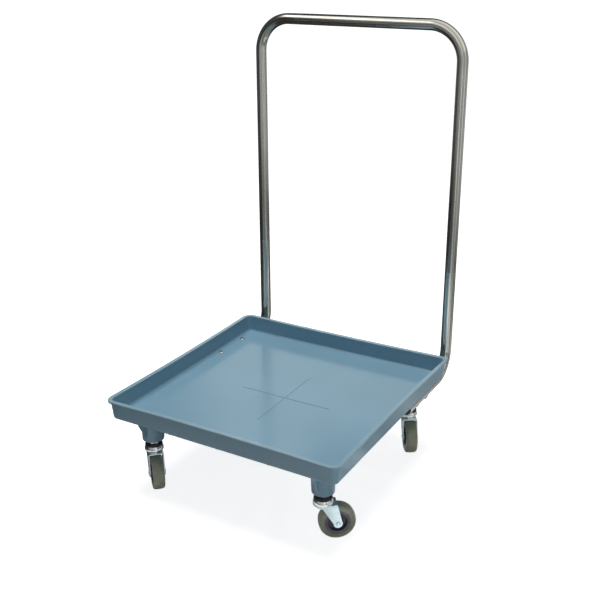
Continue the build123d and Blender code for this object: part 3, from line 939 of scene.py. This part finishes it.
class TROLLEY_OT_swivels(bpy.types.Operator):
    """Build the stems, seals, bearing cups and races above each fork"""

    bl_idname = "trolley.swivels"
    bl_label = "Swivel bearings"

    def execute(self, context):
        s = context.scene.trolley_caster
        bright = plated_steel("bearing_steel", s.bright, 0.07, 0.18, 0.03)
        rubber = dark_plastic("seal_rubber", s.seal, 0.42)
        for corner in CORNERS:
            matrix = corner_matrix(corner)
            seal_low, seal_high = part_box(f"seal_ring_{corner}")

            bm = placed(self.stem(corner, seal_high.z), matrix)
            node = f"caster_stem_{corner}"
            new_piece(bm, f"stem_and_collar_{corner}", "chassis", node, bright)

            rim = (seal_high.x - seal_low.x) / 2
            neck = rim - 0.0011
            tall = seal_high.z - seal_low.z
            profile = [(PIN_HOLE, seal_low.z), (rim, seal_low.z), (rim, seal_low.z + tall * 0.38)]
            profile += [(neck, seal_low.z + tall * 0.5), (neck, seal_high.z), (PIN_HOLE, seal_high.z)]
            bm = placed(turned(profile, s.steps, 0.0005, 4), matrix)
            new_piece(bm, f"ring_seal_{corner}", "chassis", f"seal_ring_{corner}", rubber)

            node = f"bearing_cup_{corner}"
            low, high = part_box(node)
            cup = (high.x - low.x) / 2
            wall = 0.0016
            shoulder = high.z - 0.00596
            ceiling = shoulder - 0.0001
            profile = [(PIN_HOLE, ceiling), (cup - wall, ceiling), (cup - wall, low.z), (cup, low.z)]
            profile += [(cup, shoulder), (cup - 0.0012, shoulder + 0.0022), (cup - 0.003, high.z)]
            profile += [(PIN_HOLE, high.z)]
            bm = placed(turned(profile, s.steps, 0.0004, 4), matrix)
            new_piece(bm, f"cup_{corner}", "chassis", node, bright, 40.0)

            node = f"lower_race_{corner}"
            low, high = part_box(node)
            race = (high.x - low.x) / 2
            bm = placed(turned(plain_ring(PIN_RADIUS, race, low, high), 64, 0.0004), matrix)
            new_piece(bm, f"race_under_crown_{corner}", "chassis", node, bright)
            paint_node(f"ball_race_{corner}", bright)
        return {"FINISHED"}

    def stem(self, corner, seal_top):
        """Pin with its head below, hexagonal collar and threaded stem."""
        low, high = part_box(f"caster_stem_{corner}")
        collar_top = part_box("tray")[0].z
        stem = 0.006
        head = 0.0075
        head_top = low.z + 0.0034
        chamfer = 0.0012
        step = seal_top + 0.001
        profile = [(0.0, low.z), (head - chamfer, low.z), (head, low.z + chamfer), (head, head_top)]
        profile += [(PIN_RADIUS, head_top), (PIN_RADIUS, step), (stem, step)]
        profile += [(stem, high.z - chamfer), (stem - chamfer, high.z), (0.0, high.z)]
        bm = turned(profile, 48, 0.0002, 2)
        half_across_flats = 0.012
        collar_radius = half_across_flats / math.cos(math.pi / 6)
        collar = bmesh.ops.create_cone(
            bm,
            cap_ends=True,
            segments=6,
            radius1=collar_radius,
            radius2=collar_radius,
            depth=collar_top - seal_top,
            matrix=Matrix.Translation((0, 0, (collar_top + seal_top) / 2)),
        )["verts"]
        round_edges(bm, edges_at(collar), 0.0007)
        return bm


class TROLLEY_OT_forks(bpy.types.Operator):
    """Build the pressed forks and their axles"""

    bl_idname = "trolley.forks"
    bl_label = "Forks and axles"

    def execute(self, context):
        s = context.scene.trolley_caster
        zinc = plated_steel("zinc_plate", s.zinc, 0.16, 0.34, 0.16)
        axle = 0.004
        head = 0.0048
        leg = 0.017
        end = leg + 0.0018
        half = [(0.0, end), (head * 0.45, end - 0.0001), (head * 0.8, end - 0.0005)]
        half += [(head, end - 0.0011), (head, leg), (axle, leg)]
        for corner in CORNERS:
            body = f"swivel_{corner}"
            bm = smooth_copy(f"fork_{corner}")
            round_edges(bm, sharp_edges(bm, 50.0), 0.0003, 2)
            new_piece(bm, f"pressed_fork_{corner}", body, f"fork_{corner}", zinc, 30.0)
            bm = placed(turned(mirrored(half), 48, 0.00015, 2), hub_matrix(corner))
            new_piece(bm, f"axle_pin_{corner}", body, f"axle_{corner}", zinc, 40.0)
            paint_node(f"axle_sleeve_{corner}", zinc)
        return {"FINISHED"}


class TROLLEY_OT_wheels(bpy.types.Operator):
    """Turn the wheel cores and tyres"""

    bl_idname = "trolley.wheels"
    bl_label = "Wheels"

    # Core and tyre meet at the radius of the seat, where a ridge of the core grips the tyre.
    seat = 0.026
    ridge_half = 0.0045
    ridge_height = 0.003

    def execute(self, context):
        s = context.scene.trolley_caster
        # The cores get painted shade in the recess round their hubs.
        core = dark_plastic("core_plastic", s.core, 0.36, shaded_recess=True)
        rubber = worn_rubber(s)
        for corner in CORNERS:
            low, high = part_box(f"tyre_{corner}")
            outer = (high.z - low.z) / 2
            matrix = hub_matrix(corner)
            body = f"wheel_{corner}"
            bm = placed(marked(turned(mirrored(self.core()), s.steps, 0.0005), outer), matrix)
            new_piece(bm, f"wheel_centre_{corner}", body, f"wheel_core_{corner}", core)
            bm = placed(marked(turned(mirrored(self.tyre(outer)), s.steps), outer), matrix)
            new_piece(bm, f"tread_{corner}", body, f"tyre_{corner}", rubber)
        return {"FINISHED"}

    def core(self):
        """Upper half of the core's profile: bore, hub, recessed web, rim and ridge."""
        bore, hub, recess = 0.00606, 0.0105, 0.020
        hub_half, web_half, rim_half = 0.014, 0.0045, 0.0118
        draft = 0.0012
        profile = [(bore, hub_half), (hub, hub_half), (hub + draft, web_half), (recess - draft, web_half)]
        profile += [(recess, rim_half), (self.seat, rim_half), (self.seat, self.ridge_half)]
        return profile + [(self.seat + self.ridge_height, self.ridge_half)]

    def tyre(self, outer):
        """Upper half of the tyre's profile: groove, bead, side, round shoulder and slightly crowned tread."""
        side = 0.0125
        rounding = 0.0045
        crown = 0.0006
        seat = self.seat
        profile = [(seat + self.ridge_height, self.ridge_half), (seat, self.ridge_half)]
        profile += [(seat, side - 0.0004), (seat + 0.0006, side)]
        profile += [(seat + 0.0032, side), (seat + 0.0036, side - 0.0003)]
        for i in range(7):
            angle = math.pi / 2 * i / 6
            radius = outer - crown - rounding + rounding * math.sin(angle)
            profile.append((radius, side - rounding + rounding * math.cos(angle)))
        return profile + [(outer - 0.0001, 0.0035), (outer, 0.0004)]


def area_light(name, size, energy, place, angles):
    """Rectangular lamp that polished pieces don't reflect."""
    light = bpy.data.lights.new(name, "AREA")
    light.shape = "RECTANGLE"
    light.size, light.size_y = size
    light.energy = energy
    lamp = bpy.data.objects.new(name, light)
    lamp.location = place
    lamp.rotation_euler = angles
    lamp.visible_glossy = False
    bpy.context.scene.collection.objects.link(lamp)
    return lamp


class TROLLEY_OT_stage(bpy.types.Operator):
    """Set the floor, the lights, the room that the steel reflects, and the camera"""

    bl_idname = "trolley.stage"
    bl_label = "Stage"

    def execute(self, context):
        s = context.scene.trolley_stage
        bm = bmesh.new()
        bmesh.ops.create_grid(bm, x_segments=8, y_segments=8, size=30.0)
        floor = new_object(bm, "floor")
        floor.data.materials.append(white_floor(s))

        room = new_object(self.room(), "room_in_reflections")
        room.data.materials.append(grey_room(s))
        bm = bmesh.new()
        place = Matrix.Translation((-1.1, -1.0, 2.6)) @ Matrix.Diagonal((0.5, 0.7, 1.0, 1.0))
        bmesh.ops.create_grid(bm, x_segments=1, y_segments=1, size=1.0, matrix=place)
        panel = new_object(bm, "panel_in_reflections")
        panel.data.materials.append(bright_panel())
        for reflected in (room, panel):
            for ray in ("camera", "diffuse", "shadow", "transmission"):
                setattr(reflected, f"visible_{ray}", False)

        tilt = (math.radians(-4.0), math.radians(-6.0), 0.0)
        area_light("key_light", (1.8, 1.4), s.key, (-0.25, 0.15, 2.5), tilt)
        facing_up = (math.pi, 0.0, 0.0)
        bounce = area_light("bounce_light", (0.9, 1.5), s.bounce, (0.95, 0.0, 0.01), facing_up)
        bounce.visible_camera = False
        self.world(context.scene, s.fill)

        camera = bpy.data.cameras.new("camera")
        camera.lens = s.lens
        camera.sensor_width = 36.0
        camera.clip_end = 100.0
        eye = bpy.data.objects.new("camera", camera)
        eye.location = s.camera
        eye.rotation_euler = s.aim
        context.scene.collection.objects.link(eye)
        context.scene.camera = eye
        context.scene.view_settings.view_transform = "Standard"
        return {"FINISHED"}

    def room(self):
        """Disc with a wall round it that leans in and is higher behind the trolley and on the left."""
        bm = bmesh.new()
        bmesh.ops.create_circle(bm, cap_ends=True, cap_tris=True, radius=1.4, segments=72)
        walls = bmesh.ops.extrude_edge_only(bm, edges=[e for e in bm.edges if e.is_boundary])["geom"]
        for v in verts_in(walls):
            compass = v.co.normalized()
            behind = max(0.0, compass.dot(Vector(CAMERA_AHEAD)))
            left = max(0.0, -compass.dot(Vector(CAMERA_RIGHT)))
            v.co *= 1.0 - 0.45 * behind
            v.co.z = 1.2 + 1.25 * behind + 0.5 * left
        above_floor = 0.004
        bmesh.ops.translate(bm, vec=(0.0, 0.0, above_floor), verts=bm.verts)
        return bm

    def world(self, scene, fill):
        """White all round for what is seen, and a faint light from all round for what is lit."""
        world = scene.world or bpy.data.worlds.new("studio")
        scene.world = world
        world.use_nodes = True
        sheet = NodeSheet(world.node_tree)
        light = world.node_tree.nodes["Background"]
        sheet.set(light.inputs["Strength"], sheet.remap(sheet.seen(), 0.0, 1.0, fill, 1.0))
        sheet.set(light.inputs["Color"], WHITE)


class TROLLEY_PT_panel(bpy.types.Panel):
    """Buttons that build the trolley piece by piece"""

    bl_idname = "TROLLEY_PT_panel"
    bl_label = "Dish Rack Trolley"
    bl_space_type = "VIEW_3D"
    bl_region_type = "UI"
    bl_category = "Trolley"

    def draw(self, context):
        layout = self.layout
        for operator in OPERATORS:
            layout.operator(operator.bl_idname, text=operator.bl_label)
        for settings in SETTINGS:
            group = getattr(context.scene, settings)
            box = layout.box()
            for key in group.bl_rna.properties.keys():
                if key not in ("rna_type", "name"):
                    box.prop(group, key)


OPERATORS = (
    TROLLEY_OT_tray,
    TROLLEY_OT_handle,
    TROLLEY_OT_fasteners,
    TROLLEY_OT_swivels,
    TROLLEY_OT_forks,
    TROLLEY_OT_wheels,
    TROLLEY_OT_stage,
)
SETTINGS = {
    "trolley_tray": TrolleyTraySettings,
    "trolley_handle": TrolleyHandleSettings,
    "trolley_caster": TrolleyCasterSettings,
    "trolley_stage": TrolleyStageSettings,
}
CLASSES = (*SETTINGS.values(), *OPERATORS, TROLLEY_PT_panel)


def register():
    for kind in CLASSES:
        bpy.utils.register_class(kind)
    for name, kind in SETTINGS.items():
        setattr(bpy.types.Scene, name, PointerProperty(type=kind))


def unregister():
    for name in SETTINGS:
        delattr(bpy.types.Scene, name)
    for kind in reversed(CLASSES):
        bpy.utils.unregister_class(kind)


def main():
    register()
    for operator in OPERATORS:
        family, name = operator.bl_idname.split(".")
        getattr(getattr(bpy.ops, family), name)()


if __name__ == "__main__":
    main()
